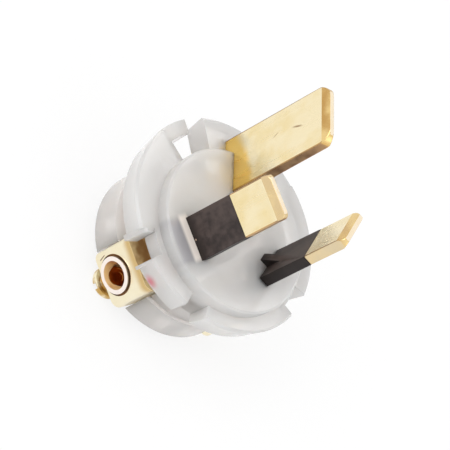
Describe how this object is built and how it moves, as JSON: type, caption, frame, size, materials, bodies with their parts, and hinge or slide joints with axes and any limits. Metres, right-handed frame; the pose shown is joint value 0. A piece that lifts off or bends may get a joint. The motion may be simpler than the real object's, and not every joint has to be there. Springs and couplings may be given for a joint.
{
  "type": "electrical plug",
  "caption": "Rewirable electrical plug insert: flat brass pins, active and neutral part sleeved, on a round translucent base with clamp-screw wire terminals behind.",
  "frame": {"origin": "centre of the pin pattern on the face that meets the socket", "axes": "+Z along the pins towards their tips, +Y towards the earth pin, +X towards the neutral pin"},
  "size_m": [0.0328, 0.0329, 0.0385],
  "materials": {
    "clear_moulding": "milky translucent, semi gloss",
    "pin_brass": "bright rolled brass",
    "terminal_brass": "pale satin brass",
    "screw_brass": "turned brass",
    "black_sleeve": "satin"
  },
  "bodies": {
    "root": {"base_moulding": "clear_moulding", "earth_pin": "pin_brass", "active_pin": "pin_brass", "neutral_pin": "pin_brass", "active_sleeve": "black_sleeve", "neutral_sleeve": "black_sleeve", "earth_terminal": "terminal_brass", "active_terminal": "terminal_brass", "neutral_terminal": "terminal_brass", "earth_screw": "screw_brass", "active_screw": "screw_brass", "neutral_screw": "screw_brass"}
  },
  "joints": []
}
